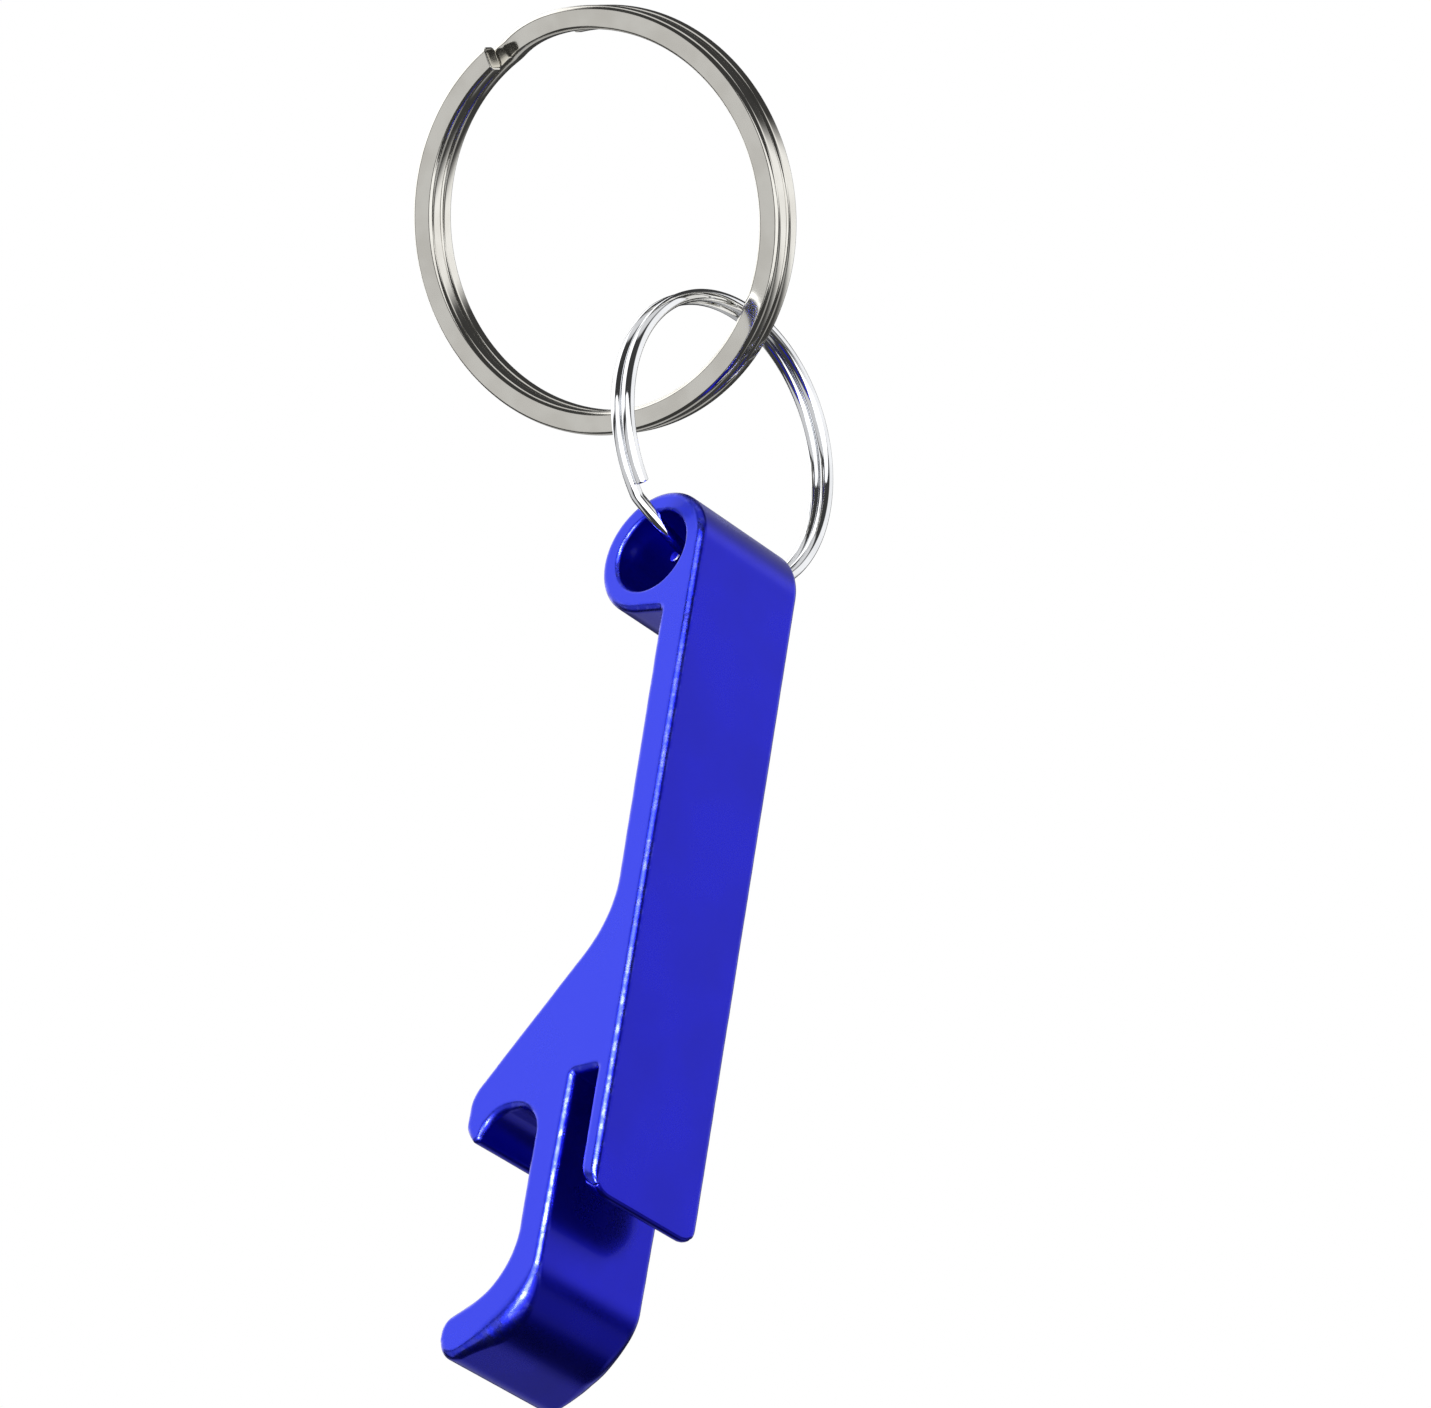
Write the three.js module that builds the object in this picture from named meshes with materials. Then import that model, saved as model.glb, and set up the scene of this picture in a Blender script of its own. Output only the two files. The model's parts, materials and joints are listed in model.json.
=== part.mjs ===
// Keychain bottle opener: an extruded aluminium opener on a small split ring, which is
// linked to a large split ring. Millimetres, +Z up. The large ring is held at the origin,
// its highest inner point, and the rest hangs below it.
// +X is the side of the opener's flat back, and -X is the side of its tooth.
import * as THREE from 'three';
import { mergeVertices } from 'three/addons/utils/BufferGeometryUtils.js';

const DEG = Math.PI / 180;

// Opener. Its profile is drawn with "front" measured from the flat back towards the tooth,
// and "up" measured from the axis of the eye.
const OPENER_WIDTH = 10; // along the extrusion
const EDGE_RADIUS = 0.35; // tumbled edges
const EYE_RADIUS = 4.45;
const EYE_HOLE_RADIUS = 2.95;
const EYE_LEAVES_AT = -80 * DEG; // where the eye's round outline turns into a straight line
const STEM_THICKNESS_TOP = 2.75;
const STEM_THICKNESS_LOW = 2.5;
const TOOTH_REACH = 12.55; // front of the tooth
const MOUTH_FRONT = 10.45; // at the top of the arch
const MOUTH_TOP = -40.05;
const TOOTH_TIP = -42.35;
const CLAW_FRONT = 6.15;
const CLAW_BACK = 3.5;
const SLOT_TOP = -38.5;
const TAB_THICKNESS = 1.5;
const TAB_END = -47.5;
const HOOK_REACH = 11.6;

// Small split ring: two turns of round wire, standing in the opener's middle plane.
const SMALL_OUTER_DIAMETER = 21;
const SMALL_WIRE = 0.85;
const SMALL_CROSSING = 30 * DEG; // where the wire steps over to its other turn
const SMALL_ROLL = 167 * DEG; // the wire's start, from the ring's top: inside the eye
const EYE_CLEARANCE = 0.3; // between the ring's inner side and the rims of the eye's hole

// Large split ring: two turns of flat wire.
const LARGE_OUTER_DIAMETER = 29.4;
const LARGE_WIRE_WIDTH = 1.65; // across the ring's radius
const LARGE_WIRE_HEIGHT = 1.3; // along the ring's axis
const LARGE_CROSSING = 24 * DEG;
const LARGE_TILT = 32.7 * DEG; // its axis above level
const LARGE_HEADING = 10.1 * DEG; // its axis turned from +Y towards -X
const LINK_ROUND = 40.9 * DEG; // from the ring's lowest point round to the small ring
const LINK_DROP = 2.5; // from the small ring's inner side down to the large wire's centre

const TURN_GAP = 0.06; // between a split ring's two turns
const END_GAP = 3 * DEG; // between the wire's second end and the crossing

const up = new THREE.Vector3(0, 0, 1);

// A closed outline's corners are [front, up, radius]; each one becomes an arc.
function roundCorners(corners, first, last) {
  const points = [];
  const ends = [first, ...corners.map(([x, y]) => new THREE.Vector2(x, y)), last];
  corners.forEach(([, , radius], i) => {
    const [a, b, c] = [ends[i], ends[i + 1], ends[i + 2]];
    const back = a.clone().sub(b).normalize();
    const on = c.clone().sub(b).normalize();
    const half = Math.acos(THREE.MathUtils.clamp(back.dot(on), -1, 1)) / 2;
    const reach = radius / Math.tan(half);
    const middle = back.clone().add(on).normalize();
    const centre = b.clone().addScaledVector(middle, radius / Math.sin(half));
    const from = b.clone().addScaledVector(back, reach).sub(centre);
    const turn = Math.PI - 2 * half;
    const side = Math.sign(from.cross(b.clone().sub(centre)));
    const steps = Math.max(2, Math.ceil(turn / (radius > 4 ? 6 * DEG : 12 * DEG)));
    for (let k = 0; k <= steps; k += 1) {
      const at = from.clone().rotateAround(new THREE.Vector2(), (side * turn * k) / steps);
      points.push(centre.clone().add(at));
    }
  });
  return points;
}

function openerProfile() {
  const leave = new THREE.Vector2(Math.cos(EYE_LEAVES_AT), Math.sin(EYE_LEAVES_AT));
  leave.multiplyScalar(EYE_RADIUS).add(new THREE.Vector2(EYE_RADIUS, 0));
  const corners = [
    [0, TAB_END, 0.45], // the lever tab's bevelled end
    [TAB_THICKNESS, TAB_END + 0.9, 0.85],
    [TAB_THICKNESS, SLOT_TOP, 0.15],
    [CLAW_BACK, SLOT_TOP, 0.15],
    [CLAW_BACK + 0.25, -55.2, 5.5], // the hook's outer curve
    [HOOK_REACH, -57.7, 1.5],
    [HOOK_REACH, -54.4, 1.3], // the hook's tip
    [CLAW_FRONT, -52.2, 5],
    [CLAW_FRONT + 0.05, MOUTH_TOP, 2.2],
    [MOUTH_FRONT, MOUTH_TOP, 2.2],
    [MOUTH_FRONT + 0.75, TOOTH_TIP, 0.45],
    [TOOTH_REACH, -40.9, 1.2], // the tooth's nose
    [TOOTH_REACH, -38.5, 2.4],
    [STEM_THICKNESS_LOW, -27.5, 7.5], // the stem widens into the wedge
    [STEM_THICKNESS_TOP, -4.83, 0.25],
  ];
  const shape = new THREE.Shape(roundCorners(corners, new THREE.Vector2(0, 0), leave));
  shape.absarc(EYE_RADIUS, 0, EYE_RADIUS, EYE_LEAVES_AT, Math.PI, false);
  const hole = new THREE.Path();
  hole.absarc(EYE_RADIUS, 0, EYE_HOLE_RADIUS, 0, 2 * Math.PI, true);
  shape.holes.push(hole);
  return shape;
}

// The eye's axis runs along Y through the group's local origin.
function openerGeometry() {
  const geometry = new THREE.ExtrudeGeometry(openerProfile(), {
    depth: OPENER_WIDTH - 2 * EDGE_RADIUS,
    curveSegments: 22,
    bevelEnabled: true,
    bevelThickness: EDGE_RADIUS,
    bevelSize: EDGE_RADIUS,
    bevelOffset: -EDGE_RADIUS,
    bevelSegments: 2,
  });
  geometry.translate(-EYE_RADIUS, 0, EDGE_RADIUS - OPENER_WIDTH / 2);
  const stand = new THREE.Matrix4();
  stand.makeBasis(new THREE.Vector3(-1, 0, 0), up, new THREE.Vector3(0, 1, 0));
  return geometry.applyMatrix4(stand);
}

// One wire wound two turns round local Z. It starts at angle 0 in one layer, and steps over
// to the other layer at the end of its first turn, between its own two ends. A positive
// pitch steps towards +Z.
class TwoTurns extends THREE.Curve {
  constructor(radius, pitch, crossing, endGap) {
    super();
    Object.assign(this, { radius, pitch, crossing, endGap });
  }

  getPoint(t, target = new THREE.Vector3()) {
    const angle = t * (4 * Math.PI - this.crossing - this.endGap);
    const over = THREE.MathUtils.smootherstep(angle, 2 * Math.PI - this.crossing, 2 * Math.PI);
    const z = this.pitch * (over - 0.5);
    return target.set(this.radius * Math.cos(angle), this.radius * Math.sin(angle), z);
  }
}

// A wire section with rounded corners: x runs along the ring's axis and y across its radius.
function wireSection(height, width, radius, cornerSteps) {
  const points = [];
  for (const [sx, sy, start] of [[1, 1, 0], [-1, 1, 90], [-1, -1, 180], [1, -1, 270]]) {
    for (let k = 0; k <= cornerSteps; k += 1) {
      const angle = (start + (90 * k) / cornerSteps) * DEG;
      const x = sx * (height / 2 - radius) + radius * Math.cos(angle);
      points.push(new THREE.Vector2(x, sy * (width / 2 - radius) + radius * Math.sin(angle)));
    }
  }
  return new THREE.Shape(points);
}

function splitRing({ outerDiameter, width, height, cornerRadius, pitch, crossing }) {
  const radius = (outerDiameter - width) / 2;
  const path = new TwoTurns(radius, pitch, crossing, END_GAP);
  return new THREE.ExtrudeGeometry(wireSection(height, width, cornerRadius, 2), {
    steps: 150,
    bevelEnabled: false,
    extrudePath: path,
  });
}

// Turn a ring about its own axis by roll, then stand it in the plane of uphill and level.
// Roll 0 puts the wire's start at the ring's highest point.
function placeRing(geometry, { axis, level, uphill }, roll, centre) {
  geometry.rotateZ(roll);
  geometry.applyMatrix4(new THREE.Matrix4().makeBasis(uphill, level, axis));
  geometry.translate(centre.x, centre.y, centre.z);
}

// A ring's axis, and the level and the steepest directions in its plane.
function ringPlane(axis) {
  const level = new THREE.Vector3().crossVectors(axis, up).normalize();
  return { axis, level, uphill: new THREE.Vector3().crossVectors(level, axis) };
}

const smallInner = SMALL_OUTER_DIAMETER / 2 - SMALL_WIRE;
const rimToCentre = Math.sqrt(smallInner ** 2 - (OPENER_WIDTH / 2) ** 2);
const smallCentre = new THREE.Vector3(0, 0, EYE_HOLE_RADIUS - EYE_CLEARANCE + rimToCentre);
const link = smallCentre.clone().addScaledVector(up, smallInner - LINK_DROP);

const smallPlane = ringPlane(new THREE.Vector3(1, 0, 0));

const largePlane = ringPlane(new THREE.Vector3(
  -Math.sin(LARGE_HEADING) * Math.cos(LARGE_TILT),
  Math.cos(LARGE_HEADING) * Math.cos(LARGE_TILT),
  Math.sin(LARGE_TILT),
));
const largeMiddle = (LARGE_OUTER_DIAMETER - LARGE_WIRE_WIDTH) / 2;
const largeCentre = link.clone()
  .addScaledVector(largePlane.uphill, largeMiddle * Math.cos(LINK_ROUND))
  .addScaledVector(largePlane.level, -largeMiddle * Math.sin(LINK_ROUND));
const hangPoint = largeCentre.clone()
  .addScaledVector(largePlane.uphill, LARGE_OUTER_DIAMETER / 2 - LARGE_WIRE_WIDTH);

const opener = openerGeometry();
const smallRing = splitRing({
  outerDiameter: SMALL_OUTER_DIAMETER,
  width: SMALL_WIRE,
  height: SMALL_WIRE,
  cornerRadius: 0.38,
  pitch: SMALL_WIRE + TURN_GAP,
  crossing: SMALL_CROSSING,
});
placeRing(smallRing, smallPlane, SMALL_ROLL, smallCentre);
const largeRing = splitRing({
  outerDiameter: LARGE_OUTER_DIAMETER,
  width: LARGE_WIRE_WIDTH,
  height: LARGE_WIRE_HEIGHT,
  cornerRadius: 0.35,
  pitch: -(LARGE_WIRE_HEIGHT + TURN_GAP),
  crossing: LARGE_CROSSING,
});
placeRing(largeRing, largePlane, 0, largeCentre);

const part = new THREE.Group();
part.name = 'keychain_bottle_opener';

function addPiece(name, geometry, color, roughness, metalness) {
  geometry.translate(-hangPoint.x, -hangPoint.y, -hangPoint.z);
  geometry.deleteAttribute('uv');
  geometry.deleteAttribute('normal');
  const welded = mergeVertices(geometry, 1e-4);
  welded.computeVertexNormals();
  const material = new THREE.MeshStandardMaterial({ color, roughness, metalness });
  const mesh = new THREE.Mesh(welded, material);
  mesh.name = name;
  part.add(mesh);
}

addPiece('opener_body', opener, 0x2a2bd6, 0.3, 0.85);
addPiece('small_split_ring', smallRing, 0xd4d6d8, 0.14, 1);
addPiece('large_split_ring', largeRing, 0xb3aa9c, 0.25, 1);

export default part;
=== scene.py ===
"""Keychain bottle opener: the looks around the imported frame, in metres, with +Z up.

The opener and both split rings are rebuilt as finer meshes at the same places and sizes as
their CAD nodes: rounded and slightly worn edges, sheared wire ends and a creased crossing.
Shapes are worked out in millimetres and scaled once, when each mesh is made.
"""
import json
import math
import bpy
from mathutils import Matrix, Vector, noise
from mathutils.geometry import delaunay_2d_cdt


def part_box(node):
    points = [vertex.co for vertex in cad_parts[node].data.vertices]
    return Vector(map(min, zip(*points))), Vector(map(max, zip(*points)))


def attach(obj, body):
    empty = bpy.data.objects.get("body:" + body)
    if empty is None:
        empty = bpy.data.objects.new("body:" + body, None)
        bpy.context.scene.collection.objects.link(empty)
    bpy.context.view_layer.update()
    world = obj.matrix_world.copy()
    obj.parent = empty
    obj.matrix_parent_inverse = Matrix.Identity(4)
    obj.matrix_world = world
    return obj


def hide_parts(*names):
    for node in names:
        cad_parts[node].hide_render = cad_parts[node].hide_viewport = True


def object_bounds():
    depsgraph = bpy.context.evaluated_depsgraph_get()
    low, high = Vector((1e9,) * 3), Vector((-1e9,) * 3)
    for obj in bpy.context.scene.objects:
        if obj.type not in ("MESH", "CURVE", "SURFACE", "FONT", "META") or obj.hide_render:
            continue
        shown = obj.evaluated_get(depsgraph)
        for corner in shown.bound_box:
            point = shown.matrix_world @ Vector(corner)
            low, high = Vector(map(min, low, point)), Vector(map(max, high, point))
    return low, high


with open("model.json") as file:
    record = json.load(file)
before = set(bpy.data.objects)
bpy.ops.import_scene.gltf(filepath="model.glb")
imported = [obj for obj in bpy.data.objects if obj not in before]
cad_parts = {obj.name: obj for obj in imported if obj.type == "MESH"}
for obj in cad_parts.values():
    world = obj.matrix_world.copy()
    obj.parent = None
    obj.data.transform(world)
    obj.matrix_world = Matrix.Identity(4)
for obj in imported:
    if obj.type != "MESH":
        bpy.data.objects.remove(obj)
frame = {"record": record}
cad_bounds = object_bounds()

MM = 0.001

# Camera, with its aim measured from the middle of the object's box, in millimetres.
CAMERA_AZIMUTH = 45.4
CAMERA_ELEVATION = -27.0
CAMERA_ROLL = 9.3
CAMERA_DISTANCE = 466.0
CAMERA_AIM = Vector((7.5, 6.6, 1.4))
CAMERA_LENS = 176.0

# Opener: the CAD profile, with a sharper corner where the tab's end meets the flat back.
# "Front" runs from the flat back to the tooth, and "up" is measured from the eye's axis.
OPENER_WIDTH = 10.0
TAB_THICKNESS = 1.5
TAB_END = -47.5
TAB_LOWEST = TAB_END + 0.25  # the end's lowest point, on its rounded corner
TAB_BEVEL = 0.6  # rise of the lever tab's end for each millimetre away from the flat back
TAB_ROUND = 1.6  # radius of the tab's two end corners, seen from the back
SLOT_TOP = -38.5
EYE_RADIUS = 4.45
EYE_HOLE_RADIUS = 2.95
EYE_LEAVES_AT = math.radians(-80)
OPENER_CORNERS = [  # front, up, corner radius
    (0.0, TAB_END, 0.3),  # the lever tab's end
    (TAB_THICKNESS, TAB_END + 0.9, 0.85),
    (TAB_THICKNESS, SLOT_TOP, 0.15),
    (3.5, SLOT_TOP, 0.15),
    (3.75, -55.2, 5.5),  # the hook's outer curve
    (11.6, -57.7, 1.5),
    (11.6, -54.4, 1.3),  # the hook's tip
    (6.15, -52.2, 5.0),
    (6.2, -40.05, 2.2),  # the mouth
    (10.45, -40.05, 2.2),
    (11.2, -42.35, 0.45),  # the tooth
    (12.55, -40.9, 1.2),
    (12.55, -38.5, 2.4),
    (2.5, -27.5, 7.5),  # where the stem widens into the wedge
    (2.75, -4.83, 0.25),  # under the eye
]
EDGE_RADIUS = 0.55  # rounded and tumbled edges, where no corner is too tight for it
HOLE_EDGE_RADIUS = 0.3
HOOK_EDGE_RADIUS = 1.3  # below the hook
HOOK_EDGE_FROM = -47.0  # where the edge starts to widen, going down
HOOK_EDGE_OVER = 6.0  # the height over which it widens
HOOK_EDGE_LEAN = 1.4  # how soon it widens as the outline turns to face down
TIGHT_CORNERS = [  # front, up, edge radius there
    (0.3, -46.97, 0.2),
    (11.39, -41.48, 0.32),
    (10.1, -55.65, 0.2),
]
TIGHT_FADE = 0.35  # how much the radius grows for each millimetre away from a tight corner
OUTLINE_STEP = 0.25  # longest stretch of the outline between two points
SAME_POINT = 0.00001  # points closer than this are one
ARC_STEP = math.radians(5)
CIRCLE_STEP = ARC_STEP / 1.6  # the eye and its hole
ROUND_STEPS = 9  # across a rounded edge
SUPPORT = 0.06  # from a rounded edge to the next row on the flat
WALL_STEPS = 10  # from a rounded edge to the middle of the width
WALL_CROWDING = 1.6  # over 1 where those rows crowd towards the edge
FACE_STEP = 0.8  # between points inside a flat face
SWAY = [(0.007, 4.5), (0.0012, 1.6)]  # depth and size of the surface's unevenness
NICKS = [(0.01, 1.2), (0.003, 0.4)]  # the same, on the rounded edges only

# Split rings.
LARGE_OUTER_DIAMETER = 29.4
LARGE_WIRE_WIDTH = 1.65
LARGE_WIRE_HEIGHT = 1.3
LARGE_CROSSING = math.radians(24)  # where the wire steps over to its other turn
LARGE_TILT = math.radians(32.7)
LARGE_HEADING = math.radians(10.1)
SMALL_OUTER_DIAMETER = 21.0
SMALL_WIRE = 0.85
SMALL_CROSSING = math.radians(30)
SMALL_ROLL = math.radians(167)
TURN_GAP = 0.06
END_GAP = math.radians(3)
SPRUNG_OVER = math.radians(22)  # how soon a sprung first end comes back to its place
CREASE = 0.1  # share of the crossing taken by its tight bend
CUT_OVER = 0.06  # radians from a sheared end within which the section leans
CHAMFER = 0.07  # round a cut end
CAP_INSET = 0.12  # share of the way in from a cut end's rim to its extra row of points
WIRE_STEPS = 900
WIRE_CORNER_STEPS = 8
TANGENT_STEP = 0.004  # radians either side of a point, to find the wire's direction there
WIRE_SWAY = 0.035  # how far the turns wander from a true circle
WIRE_SKIN = 0.002  # depth of the wire's unevenness

DYED_BLUE = (0.008, 0.009, 0.53)
CUT_BLUE = (0.022, 0.035, 0.56)  # on the flat sides, where the extrusion was sawn
RUBBED_AND_GLINT_BLUE = (0.1, 0.12, 0.8)  # in small patches along the edges: rubbed dye, and a painted highlight that whitens the edge glints

# The studio, seen only in reflections: azimuth, elevation, half width, half height and soft
# border in degrees, and brightness. Azimuth 0 is towards -Y and 90 towards +X.
SKY_LEVEL = 0.05
PANELS = [
    (-68, 32, 46, 26, 5, 1.55),  # large softbox on the side of the near face
    (142, 27, 36, 11, 13, 1.1),  # softbox above the flat back
    (-42, -27, 34, 19, 4, 0.7),  # pale card low in front
    (48, -32, 36, 16, 4, 1.25),  # card under the camera
    (-140, -26, 26, 20, 7, 0.5),  # dim card low behind
    (96, 2, 12, 8, 4, 1.2),  # small card level with the flat back
    (30, 68, 80, 12, 6, 0.8),  # wide strip overhead
    (138, -20, 26, 10, 8, 0.42),  # dim card low behind the flat back
]
# Lights that only some pieces see: azimuth, elevation, half width and half height in
# degrees, and brightness.
LIGHT_DISTANCE = 0.6  # metres
OPENER_LIGHTS = [
    (32, 13, 20, 5, 60.0),  # over the camera: the edges of the flat back
    (23, -23, 13, 9, 32.0),  # beside the camera: the hook's wide edge
    (178, 48, 34, 9, 0.4),  # the top of the eye
]
SMALL_RING_LIGHTS = [
    (45, -18, 50, 34, 1.3),
]
FLOOR_DROP = 0.5  # metres below the object
FLOOR_RADIUS = 30.0


def mesh_object(name, points, faces, node, body, material, values=None):
    """A smooth piece made from points in millimetres, which stands for a CAD node."""
    mesh = bpy.data.meshes.new(name)
    mesh.from_pydata([p * MM for p in points], [], faces)
    mesh.validate()
    mesh.shade_smooth()
    for key, numbers in (values or {}).items():
        attribute = mesh.attributes.new(key, "FLOAT", "POINT")
        attribute.data.foreach_set("value", numbers)
    mesh.materials.append(material)
    piece = bpy.data.objects.new(name, mesh)
    bpy.context.scene.collection.objects.link(piece)
    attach(piece, body)
    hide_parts(node)
    return piece


def round_corners(corners, first, last):
    """(point, outward normal) pairs along the corners' arcs, for an outline with its metal
    on the left."""
    ends = [first, *(Vector(c[:2]) for c in corners), last]
    pairs = []
    for i, (_, _, radius) in enumerate(corners):
        a, b, c = ends[i:i + 3]
        back = (a - b).normalized()
        on = (c - b).normalized()
        half = back.angle(on) / 2
        centre = b + (back + on).normalized() * (radius / math.sin(half))
        start = b + back * (radius / math.tan(half)) - centre
        turn = math.pi - 2 * half
        side = 1 if back.cross(on) < 0 else -1  # 1 where the outline turns left
        steps = max(3, math.ceil(turn / ARC_STEP), math.ceil(turn * radius / OUTLINE_STEP))
        for k in range(steps + 1):
            arm = Matrix.Rotation(side * turn * k / steps, 2) @ start
            pairs.append((centre + arm, arm.normalized() * side))
    return pairs


def circle_pairs(centre, radius, start, end, side):
    """(point, normal) pairs along an arc. Side is 1 where the normal points outwards."""
    steps = math.ceil(abs(end - start) / CIRCLE_STEP)
    pairs = []
    for k in range(steps + 1):
        angle = start + (end - start) * k / steps
        arm = Vector((math.cos(angle), math.sin(angle)))
        pairs.append((centre + arm * radius, arm * side))
    return pairs


def filled_in(pairs):
    """The closed outline again, with points added along its straight stretches."""
    full = []
    for (p, n), (q, m) in zip(pairs, pairs[1:] + pairs[:1]):
        if (p - q).length < SAME_POINT:
            continue
        steps = max(1, math.ceil((q - p).length / OUTLINE_STEP))
        for k in range(steps):
            full.append((p.lerp(q, k / steps), n.lerp(m, k / steps).normalized()))
    return full


def opener_loops():
    """The profile's outline and its hole, as lists of (point, outward normal)."""
    eye = Vector((EYE_RADIUS, 0))
    arm = Vector((math.cos(EYE_LEAVES_AT), math.sin(EYE_LEAVES_AT)))
    corners = round_corners(OPENER_CORNERS, Vector((0, 0)), eye + arm * EYE_RADIUS)
    round_eye = circle_pairs(eye, EYE_RADIUS, EYE_LEAVES_AT, math.pi, 1)
    hole = circle_pairs(eye, EYE_HOLE_RADIUS, 2 * math.pi, 0, -1)
    return [filled_in(corners + round_eye), filled_in(hole)]


def inside(p, loop):
    """Whether a point lies inside a closed loop of points."""
    found = False
    for a, b in zip(loop, loop[1:] + loop[:1]):
        if (a.y > p.y) != (b.y > p.y):
            if p.x < a.x + (b.x - a.x) * (p.y - a.y) / (b.y - a.y):
                found = not found
    return found


def clear_of(p, loops, distance):
    return all((p - q).length > distance for loop in loops for q in loop)


def face_fill(loops):
    """Points to add inside the flat face, and its triangles over loops + added points."""
    outline, hole = loops
    flat = [p for loop in loops for p in loop]
    low = Vector((min(p.x for p in flat), min(p.y for p in flat)))
    high = Vector((max(p.x for p in flat), max(p.y for p in flat)))
    added = []
    for row in range(math.ceil((high.y - low.y) / FACE_STEP)):
        for column in range(math.ceil((high.x - low.x) / FACE_STEP) + 1):
            shift = 0.5 * (row % 2)
            p = low + Vector((column + shift, row + 0.5)) * FACE_STEP
            if inside(p, outline) and not inside(p, hole):
                if clear_of(p, loops, 0.5 * FACE_STEP):
                    added.append(p)
    edges, first = [], 0
    for loop in loops:
        count = len(loop)
        edges += [(first + k, first + (k + 1) % count) for k in range(count)]
        first += count
    made = delaunay_2d_cdt(flat + added, edges, [], 0, 1e-6)
    origin = [ids[0] for ids in made[3]]
    triangles = []
    for face in made[2]:
        middle = sum((made[0][i] for i in face), Vector((0, 0))) / 3
        if inside(middle, outline) and not inside(middle, hole):
            triangles.append([origin[i] for i in face])
    return added, triangles


def smooth(share):
    share = min(max(share, 0.0), 1.0)
    return share * share * (3 - 2 * share)


def edge_radius(p, n):
    """How far the edge is rounded at an outline point with outward normal n."""
    if (p - Vector((EYE_RADIUS, 0))).length < EYE_HOLE_RADIUS + 0.1:
        return HOLE_EDGE_RADIUS
    below = smooth(-HOOK_EDGE_LEAN * n.y) * smooth((HOOK_EDGE_FROM - p.y) / HOOK_EDGE_OVER)
    radius = EDGE_RADIUS + (HOOK_EDGE_RADIUS - EDGE_RADIUS) * below
    for front, up, tight in TIGHT_CORNERS:
        away = max(0.0, (p - Vector((front, up))).length - tight)
        radius = min(radius, tight + TIGHT_FADE * away)
    return radius


def across(radius):
    """One outline point's rows across the extrusion, from one flat face to the other:
    inset, place along the width, outward share and lean of the normal, roundness."""
    rows = [(radius + SUPPORT, 0.0, 0.0, -1.0, 0.0)]
    for k in range(ROUND_STEPS + 1):
        angle = math.pi / 2 * k / ROUND_STEPS
        out, lean = math.sin(angle), math.cos(angle)
        rows.append((radius * (1 - out), radius * (1 - lean), out, -lean, 2 * out * lean))
    first, middle = radius + SUPPORT, OPENER_WIDTH / 2
    for k in range(WALL_STEPS):
        share = (k / WALL_STEPS) ** WALL_CROWDING
        rows.append((0.0, first + (middle - first) * share, 1.0, 0.0, 0.0))
    far = [(inset, OPENER_WIDTH - w, out, -lean, e) for inset, w, out, lean, e in rows[::-1]]
    return rows + [(0.0, middle, 1.0, 0.0, 0.0)] + far


def tab_rounded(front_up, w):
    """A point of the opener after the lever tab's square end corners are rounded, seen from
    the back. Each corner's square shrinks evenly into a quarter disc."""
    end = max(TAB_LOWEST, TAB_END + TAB_BEVEL * front_up.x)
    beside = TAB_ROUND - min(w, OPENER_WIDTH - w)
    below = TAB_ROUND - (front_up.y - end)
    if front_up.x > TAB_THICKNESS + 0.1 or beside <= 0 or below <= 0:
        return front_up, w
    gone = 1 - max(beside, below) / math.hypot(beside, below)
    inward = gone * beside if w < OPENER_WIDTH / 2 else -gone * beside
    return Vector((front_up.x, front_up.y + gone * below)), w + inward


def uneven(p, layers):
    """Noise at a point, summed over layers of (depth, size)."""
    return sum(depth * noise.noise(p / size) for depth, size in layers)


def build_opener(material):
    """The extrusion. "edge" is 1 in the middle of a rounded edge, and "cut" is 1 on the two
    sawn sides."""
    low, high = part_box("opener_body")
    low, high = low / MM, high / MM
    eye_up = high.z - EYE_RADIUS
    loops = opener_loops()
    points, normals, edge, cut = [], [], [], []

    def add(front_up, w, normal, round_edge):
        front_up, w = tab_rounded(front_up, w)
        points.append(Vector((high.x - front_up.x, low.y + w, eye_up + front_up.y)))
        normals.append(Vector((-normal.x, normal.z, normal.y)))
        edge.append(round_edge)
        cut.append(normal.z * normal.z)

    faces, starts, insets = [], [], []
    for loop in loops:
        start, count = len(points), len(loop)
        starts.append(start)
        columns = [across(edge_radius(p, n)) for p, n in loop]
        insets.append([p - n * c[0][0] for (p, n), c in zip(loop, columns)])
        rows = len(columns[0])
        for row in range(rows):
            for (p, n), column in zip(loop, columns):
                inset, w, out, lean, round_edge = column[row]
                add(p - n * inset, w, Vector((n.x * out, n.y * out, lean)), round_edge)
        for row in range(rows - 1):
            a, b = start + row * count, start + (row + 1) * count
            for k in range(count):
                nxt = (k + 1) % count
                faces.append((a + k, a + nxt, b + nxt, b + k))
    added, triangles = face_fill(insets)
    for w, row in ((0.0, 0), (OPENER_WIDTH, rows - 1)):
        ids = [start + row * len(loop) + k
               for start, loop in zip(starts, loops) for k in range(len(loop))]
        ids += [len(points) + k for k in range(len(added))]
        for p in added:
            add(p, w, Vector((0, 0, 1 if row else -1)), 0.0)
        for a, b, c in triangles:
            faces.append((ids[a], ids[b], ids[c]) if row else (ids[c], ids[b], ids[a]))
    worn = []
    for p, n, e in zip(points, normals, edge):
        worn.append(p + n * (uneven(p, SWAY) + e * uneven(p, NICKS)))
    return mesh_object("opener", worn, faces, "opener_body", "opener",
                       material, {"edge": edge, "cut": cut})


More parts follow.
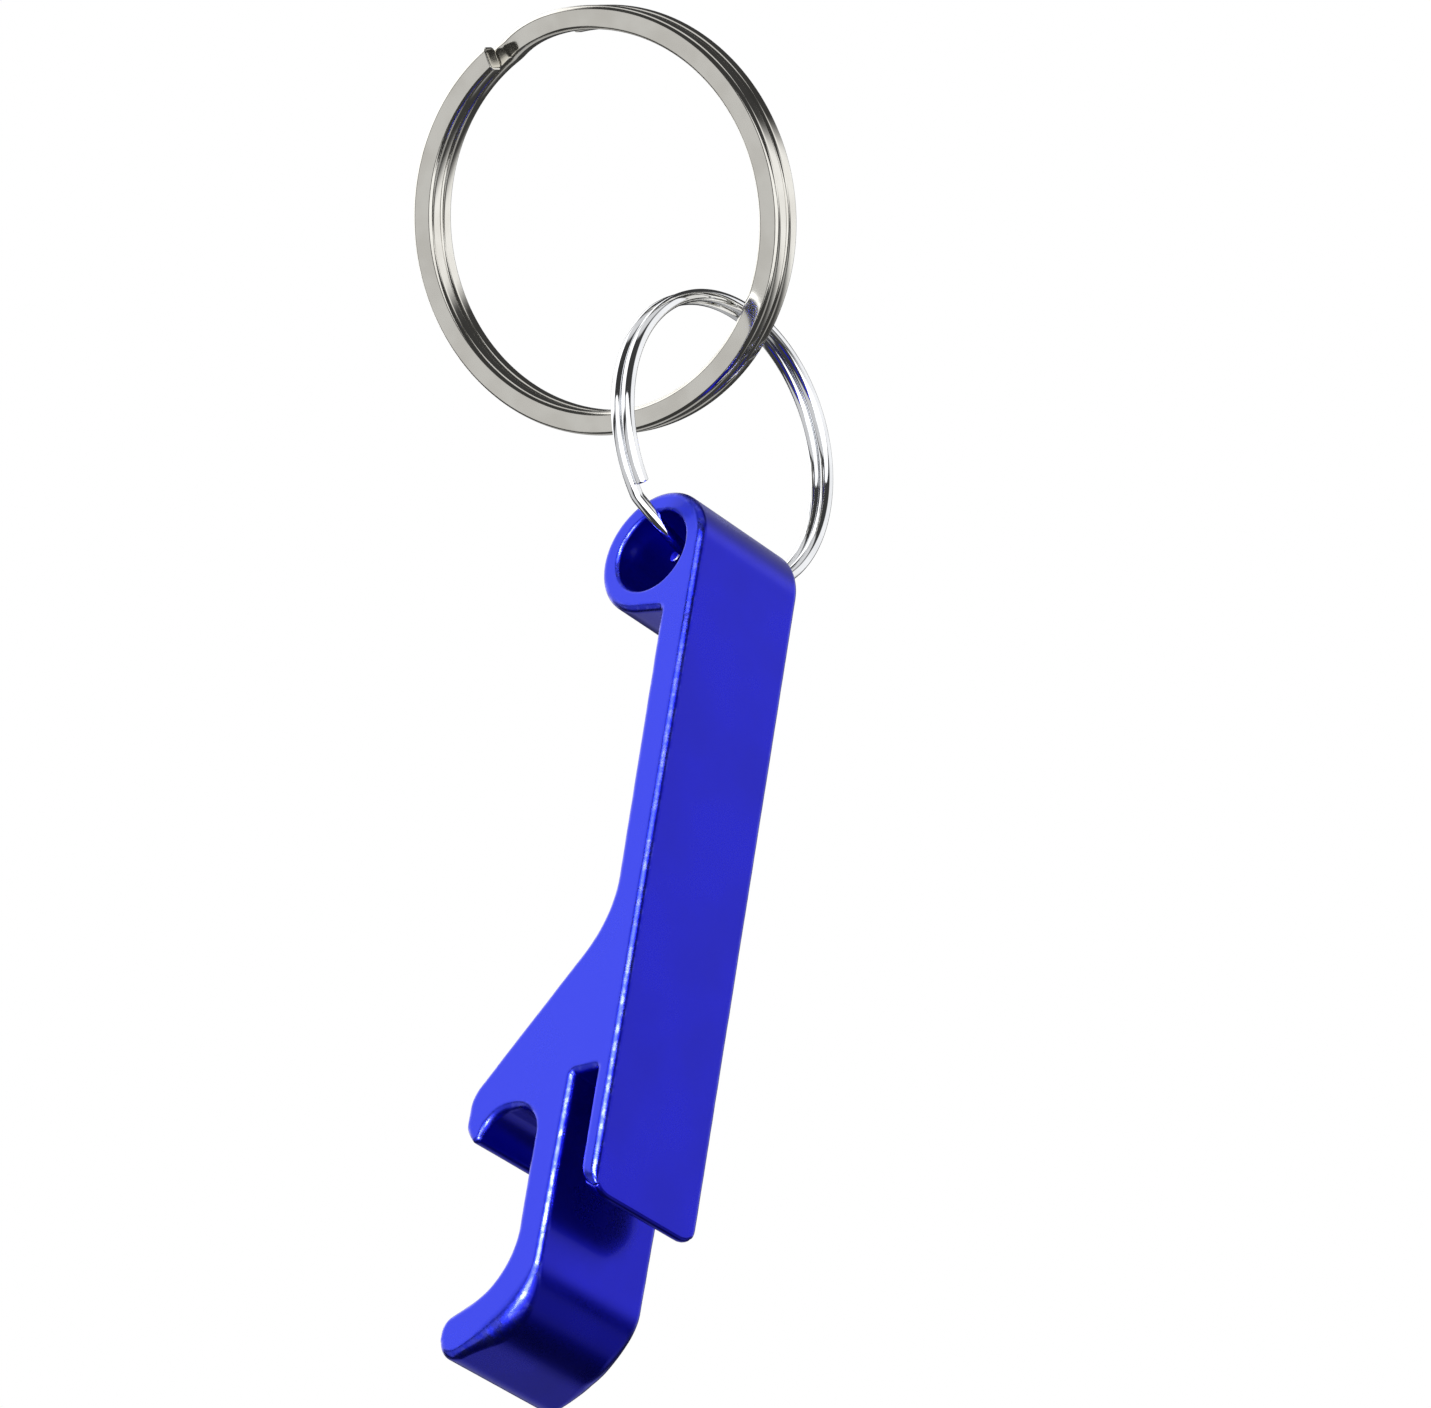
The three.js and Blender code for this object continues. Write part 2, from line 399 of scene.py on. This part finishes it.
def ring_plane(axis):
    """A ring's axis, and the level and the steepest directions in its plane."""
    level = axis.cross(Vector((0, 0, 1))).normalized()
    return axis, level, level.cross(axis)


def wire_section(height, width, radius):
    """(point, normal) pairs round the wire: x along the ring's axis, y across its radius."""
    pairs = []
    for sx, sy, start in ((1, 1, 0), (-1, 1, 90), (-1, -1, 180), (1, -1, 270)):
        centre = Vector((sx * (height / 2 - radius), sy * (width / 2 - radius)))
        for k in range(WIRE_CORNER_STEPS + 1):
            angle = math.radians(start + 90 * k / WIRE_CORNER_STEPS)
            arm = Vector((math.cos(angle), math.sin(angle)))
            pairs.append((centre + arm * radius, arm))
    return pairs


def stepped_over(share):
    """How far the wire has stepped to its other turn: a tight bend, then a long easy one."""
    share = min(max(share, 0.0), 1.0)
    if share < CREASE:
        return share * share / CREASE
    return 1 - (1 - share) ** 2 / (1 - CREASE)


def cap(points, rim, outwards):
    """Close a cut end: add an inner row of points and a middle one, and return its faces.
    Rim is the range of the end's own points."""
    count = len(rim)
    middle_id = len(points)
    inner = middle_id + 1
    corners = [points[k] for k in rim]
    middle = sum(corners, Vector()) / count
    points.append(middle)
    points.extend(p.lerp(middle, CAP_INSET) for p in corners)
    faces = []
    for k in range(count):
        nxt = (k + 1) % count
        a, b, c, d = rim[k], rim[nxt], inner + nxt, inner + k
        if outwards:
            faces += [(a, b, c, d), (d, c, middle_id)]
        else:
            faces += [(d, c, b, a), (middle_id, c, d)]
    return faces


def build_ring(name, node, body, material, place, *, outer, width, height, corner,
               pitch, crossing, roll, shear, sprung_by, seed):
    """One wire wound two turns, as the CAD node is, with a fine section and cut ends. Shear
    is how far a cut end leans for each millimetre across it, and sprung_by how far the first
    end stands off from the turn over it."""
    centre, (axis, level, uphill) = place
    middle = (outer - width) / 2
    whole = 4 * math.pi - crossing - END_GAP
    section = wire_section(height, width, corner)

    def path(angle):
        over = stepped_over((angle - (2 * math.pi - crossing)) / crossing)
        turned = angle + roll
        out = uphill * math.cos(turned) + level * math.sin(turned)
        wander = noise.noise(Vector((math.cos(angle / 2), math.sin(angle / 2), seed)) * 2)
        sprung = math.exp(-angle / SPRUNG_OVER) * sprung_by * math.copysign(1, -pitch)
        lift = pitch * (over - 0.5) + sprung
        return centre + out * (middle + WIRE_SWAY * wander) + axis * lift, out

    bevel = [(CHAMFER, 0.0), (CHAMFER * 0.25, 0.4), (0.0, 1.0)]  # inset, share of its length
    ends = CHAMFER / middle
    rows = [(ends * share, inset) for inset, share in bevel]
    rows += [(whole * k / WIRE_STEPS, 0.0) for k in range(1, WIRE_STEPS)]
    rows += [(whole - ends * share, inset) for inset, share in bevel[::-1]]
    points, faces = [], []
    for angle, inset in rows:
        p, out = path(angle)
        after, _ = path(angle + TANGENT_STEP)
        before, _ = path(angle - TANGENT_STEP)
        along = (after - before).normalized()
        rise = out.cross(along).normalized()
        if rise.dot(axis) < 0:
            rise = -rise
        near_end = max(0.0, 1 - angle / CUT_OVER) + max(0.0, 1 - (whole - angle) / CUT_OVER)
        for s, n in section:
            at = s - n * inset
            lean = along * (shear * near_end * at.y)
            skin = WIRE_SKIN * noise.noise(Vector((angle * 3, n.x * 0.6, n.y * 0.6 + seed)))
            points.append(p + rise * (at.x + n.x * skin) + out * (at.y + n.y * skin) + lean)
    count = len(section)
    for row in range(len(rows) - 1):
        a, b = row * count, (row + 1) * count
        for k in range(count):
            nxt = (k + 1) % count
            faces.append((a + k, a + nxt, b + nxt, b + k))
    last = len(points) - count
    faces += cap(points, range(count), False)
    faces += cap(points, range(last, last + count), True)
    return mesh_object(name, points, faces, node, body, material)


class Shading:
    """Short names for building one material's nodes. Coordinates are the piece's own."""

    def __init__(self, name, colour, roughness):
        self.material = bpy.data.materials.new(name)
        self.material.use_nodes = True
        tree = self.material.node_tree
        self.nodes, self.links = tree.nodes, tree.links
        self.shader = self.nodes["Principled BSDF"]
        self.shader.inputs["Base Color"].default_value = (*colour, 1)
        self.shader.inputs["Metallic"].default_value = 1.0
        self.shader.inputs["Roughness"].default_value = roughness
        self.place = self.nodes.new("ShaderNodeTexCoord").outputs["Object"]
        self.relief = None

    def noise(self, size_mm, detail, stretch=(1, 1, 1), roughness=0.5):
        """Noise whose features are about size_mm, longer where stretch is over 1."""
        mapping = self.nodes.new("ShaderNodeMapping")
        scale = [1 / (size_mm * MM * s) for s in stretch]
        mapping.inputs["Scale"].default_value = scale
        self.links.new(self.place, mapping.inputs["Vector"])
        made = self.nodes.new("ShaderNodeTexNoise")
        made.inputs["Scale"].default_value = 1.0
        made.inputs["Detail"].default_value = detail
        made.inputs["Roughness"].default_value = roughness
        self.links.new(mapping.outputs["Vector"], made.inputs["Vector"])
        return made.outputs["Fac"]

    def ramp(self, value, low, high, to_low=0.0, to_high=1.0):
        made = self.nodes.new("ShaderNodeMapRange")
        made.interpolation_type = "SMOOTHSTEP"
        for name, number in (("From Min", low), ("From Max", high),
                             ("To Min", to_low), ("To Max", to_high)):
            made.inputs[name].default_value = number
        self.links.new(value, made.inputs["Value"])
        return made.outputs["Result"]

    def math(self, kind, a, b):
        made = self.nodes.new("ShaderNodeMath")
        made.operation = kind
        for socket, value in zip(made.inputs, (a, b)):
            if isinstance(value, (int, float)):
                socket.default_value = value
            else:
                self.links.new(value, socket)
        return made.outputs[0]

    def mix(self, share, first, second):
        """A colour between first and second. Each is a socket or an (r, g, b)."""
        made = self.nodes.new("ShaderNodeMix")
        made.data_type = "RGBA"
        self.links.new(share, made.inputs["Factor"])
        for socket, value in ((made.inputs[6], first), (made.inputs[7], second)):
            if isinstance(value, tuple):
                socket.default_value = (*value, 1)
            else:
                self.links.new(value, socket)
        return made.outputs[2]

    def bump(self, height, depth_mm, strength):
        made = self.nodes.new("ShaderNodeBump")
        made.inputs["Strength"].default_value = strength
        made.inputs["Distance"].default_value = depth_mm * MM
        self.links.new(height, made.inputs["Height"])
        if self.relief is not None:
            self.links.new(self.relief, made.inputs["Normal"])
        self.relief = made.outputs["Normal"]
        self.links.new(self.relief, self.shader.inputs["Normal"])

    def into(self, socket, value):
        self.links.new(value, self.shader.inputs[socket])


def anodised_blue():
    """Dyed and sealed aluminium: a satin metal under a clear, slightly glossier oxide."""
    made = Shading("anodised_blue", DYED_BLUE, 0.3)
    made.shader.inputs["Coat Weight"].default_value = 0.14
    made.shader.inputs["Coat Roughness"].default_value = 0.1
    made.shader.inputs["Coat IOR"].default_value = 1.6
    edge = made.nodes.new("ShaderNodeAttribute")
    edge.attribute_name = "edge"
    cloud = made.noise(6.0, 3.0)
    grain = made.noise(0.16, 3.0, roughness=0.6)
    die_lines = made.noise(0.14, 1.0, stretch=(1, 90, 1))
    # Patches in the middle of the rounded edges, glossier and lighter: rubbed dye, and a
    # painted highlight that whitens the edge glints.
    rubbed_and_glint = made.math("MULTIPLY", edge.outputs["Fac"],
                       made.ramp(made.noise(0.6, 2.0), 0.42, 0.7))
    dye = made.mix(made.ramp(cloud, 0.3, 0.7), DYED_BLUE, tuple(c * 0.9 for c in DYED_BLUE))
    cut = made.nodes.new("ShaderNodeAttribute")
    cut.attribute_name = "cut"
    dye = made.mix(cut.outputs["Fac"], dye, CUT_BLUE)
    # Painted highlight: the edge patches are mixed half way to a lighter blue.
    made.into("Base Color", made.mix(made.math("MULTIPLY", rubbed_and_glint, 0.5), dye, RUBBED_AND_GLINT_BLUE))
    rough = made.ramp(cloud, 0.3, 0.7, 0.27, 0.34)
    rough = made.math("ADD", rough, made.ramp(grain, 0.35, 0.7, -0.02, 0.05))
    made.into("Roughness", made.math("SUBTRACT", rough, made.math("MULTIPLY", rubbed_and_glint, 0.1)))
    made.bump(grain, 0.004, 0.14)
    made.bump(die_lines, 0.003, 0.08)
    return made.material


def plated_wire(name, colour, dull, roughness, grain_depth):
    """Polished plated wire, with faint handling marks."""
    made = Shading(name, colour, roughness)
    marks = made.noise(0.9, 2.0)
    cloud = made.noise(2.5, 2.0)
    made.into("Base Color", made.mix(made.ramp(cloud, 0.35, 0.7), colour, dull))
    rough = made.ramp(marks, 0.4, 0.7, roughness, roughness * 1.5)
    made.into("Roughness", rough)
    made.bump(made.noise(3.0, 1.0), grain_depth, 0.2)
    return made.material


def camera_axes(azimuth, elevation, roll):
    a, e = math.radians(azimuth), math.radians(elevation)
    back = Vector((math.sin(a) * math.cos(e), -math.cos(a) * math.cos(e), math.sin(e)))
    right = Vector((math.cos(a), math.sin(a), 0))
    turned = Matrix.Rotation(math.radians(roll), 3, back) @ right
    return turned, back.cross(turned), back


def add_camera():
    low, high = cad_bounds
    right, up, back = camera_axes(CAMERA_AZIMUTH, CAMERA_ELEVATION, CAMERA_ROLL)
    aim = (low + high) / 2 + CAMERA_AIM * MM
    data = bpy.data.cameras.new("camera")
    data.lens = CAMERA_LENS
    data.sensor_width = 36.0
    data.clip_start = 0.01
    camera = bpy.data.objects.new("camera", data)
    bpy.context.scene.collection.objects.link(camera)
    turn = Matrix((right, up, back)).transposed().to_4x4()
    camera.matrix_world = Matrix.Translation(aim + back * CAMERA_DISTANCE * MM) @ turn
    bpy.context.scene.camera = camera


def add_world():
    """Softboxes and dark gaps all round, seen only by the object, on a white backdrop."""
    world = bpy.data.worlds.new("studio")
    world.use_nodes = True
    nodes, links = world.node_tree.nodes, world.node_tree.links

    def math_node(kind, *values):
        made = nodes.new("ShaderNodeMath")
        made.operation = kind
        for socket, value in zip(made.inputs, values):
            if isinstance(value, (int, float)):
                socket.default_value = value
            else:
                links.new(value, socket)
        return made.outputs[0]

    def share_of(distance, half, soft):
        made = nodes.new("ShaderNodeMapRange")
        made.interpolation_type = "SMOOTHSTEP"
        made.inputs["From Min"].default_value = math.radians(half + soft)
        made.inputs["From Max"].default_value = math.radians(half)
        links.new(distance, made.inputs["Value"])
        return made.outputs["Result"]

    split = nodes.new("ShaderNodeSeparateXYZ")
    links.new(nodes.new("ShaderNodeTexCoord").outputs["Generated"], split.inputs[0])
    x, y, z = split.outputs
    round_it = math_node("ARCTAN2", x, math_node("MULTIPLY", y, -1.0))
    above = math_node("ARCSINE", z)
    light = SKY_LEVEL
    for azimuth, elevation, half_wide, half_high, soft, level in PANELS:
        aside = math_node("SUBTRACT", round_it, math.radians(azimuth))
        aside = math_node("ABSOLUTE", math_node("WRAP", aside, math.pi, -math.pi))
        over = math_node("ABSOLUTE", math_node("SUBTRACT", above, math.radians(elevation)))
        share = math_node("MULTIPLY", share_of(aside, half_wide, soft),
                          share_of(over, half_high, soft))
        step = math_node("SUBTRACT", level, light)
        light = math_node("ADD", light, math_node("MULTIPLY", share, step))
    lit = nodes["Background"]
    links.new(light, lit.inputs["Strength"])
    lit.inputs["Color"].default_value = (1, 1, 1, 1)
    seen = nodes.new("ShaderNodeBackground")
    seen.inputs["Color"].default_value = (1, 1, 1, 1)
    mix = nodes.new("ShaderNodeMixShader")
    path = nodes.new("ShaderNodeLightPath")
    links.new(path.outputs["Is Camera Ray"], mix.inputs[0])
    links.new(lit.outputs[0], mix.inputs[1])
    links.new(seen.outputs[0], mix.inputs[2])
    links.new(mix.outputs[0], nodes["World Output"].inputs[0])
    bpy.context.scene.world = world


def add_light(piece, azimuth, elevation, half_wide, half_high, level):
    """A rectangular light facing the object, which lights and mirrors in one piece only."""
    turned, up, back = camera_axes(azimuth, elevation, 0)
    data = bpy.data.lights.new(f"{piece.name}_light", "AREA")
    data.shape = "RECTANGLE"
    data.size = 2 * LIGHT_DISTANCE * math.tan(math.radians(half_wide))
    data.size_y = 2 * LIGHT_DISTANCE * math.tan(math.radians(half_high))
    data.energy = level * math.pi * data.size * data.size_y
    light = bpy.data.objects.new(data.name, data)
    low, high = cad_bounds
    turn = Matrix((turned, up, back)).transposed().to_4x4()
    light.matrix_world = Matrix.Translation((low + high) / 2 + back * LIGHT_DISTANCE) @ turn
    light.visible_camera = False
    bpy.context.scene.collection.objects.link(light)
    receivers = bpy.data.collections.new(f"{data.name}_receivers")
    receivers.objects.link(piece)
    light.light_linking.receiver_collection = receivers


def add_floor():
    """A plain pale floor, far below the hanging object."""
    low, _ = cad_bounds
    r = FLOOR_RADIUS
    corners = [(-r, -r, 0), (r, -r, 0), (r, r, 0), (-r, r, 0)]
    mesh = bpy.data.meshes.new("floor")
    mesh.from_pydata(corners, [], [(0, 1, 2, 3)])
    material = bpy.data.materials.new("pale_floor")
    material.use_nodes = True
    shader = material.node_tree.nodes["Principled BSDF"]
    shader.inputs["Base Color"].default_value = (0.8, 0.8, 0.8, 1)
    shader.inputs["Roughness"].default_value = 0.8
    shader.inputs["Emission Color"].default_value = (1, 1, 1, 1)
    shader.inputs["Emission Strength"].default_value = 0.4
    mesh.materials.append(material)
    floor = bpy.data.objects.new("floor", mesh)
    floor.location = (0, 0, low.z - FLOOR_DROP)
    floor.visible_glossy = False
    bpy.context.scene.collection.objects.link(floor)


blue = anodised_blue()
nickel = plated_wire("nickel", (0.76, 0.745, 0.695), (0.69, 0.67, 0.62), 0.1, 0.004)
chrome = plated_wire("chrome", (0.82, 0.83, 0.85), (0.74, 0.75, 0.77), 0.05, 0.002)

opener = build_opener(blue)
large_axis = Vector((
    -math.sin(LARGE_HEADING) * math.cos(LARGE_TILT),
    math.cos(LARGE_HEADING) * math.cos(LARGE_TILT),
    math.sin(LARGE_TILT),
))
large_plane = ring_plane(large_axis)
hang_point = Vector(next(m["pos_m"] for m in frame["record"]["mounts"]
                         if m["name"] == "hang_point")) / MM
large_centre = hang_point - large_plane[2] * (LARGE_OUTER_DIAMETER / 2 - LARGE_WIRE_WIDTH)
build_ring(
    "large_ring_wire", "large_split_ring", "large_ring", nickel,
    (large_centre, large_plane),
    outer=LARGE_OUTER_DIAMETER, width=LARGE_WIRE_WIDTH, height=LARGE_WIRE_HEIGHT, corner=0.35,
    pitch=-(LARGE_WIRE_HEIGHT + TURN_GAP), crossing=LARGE_CROSSING, roll=0.0,
    shear=0.25, sprung_by=0.3, seed=3.0,
)
small_low, small_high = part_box("small_split_ring")
small_ring = build_ring(
    "small_ring_wire", "small_split_ring", "small_ring", chrome,
    ((small_low + small_high) / 2 / MM, ring_plane(Vector((1, 0, 0)))),
    outer=SMALL_OUTER_DIAMETER, width=SMALL_WIRE, height=SMALL_WIRE, corner=0.38,
    pitch=SMALL_WIRE + TURN_GAP, crossing=SMALL_CROSSING, roll=SMALL_ROLL,
    shear=0.1, sprung_by=0.09, seed=7.0,
)

add_camera()
add_world()
for light in OPENER_LIGHTS:
    add_light(opener, *light)
for light in SMALL_RING_LIGHTS:
    add_light(small_ring, *light)
add_floor()
bpy.context.scene.view_settings.view_transform = "Standard"
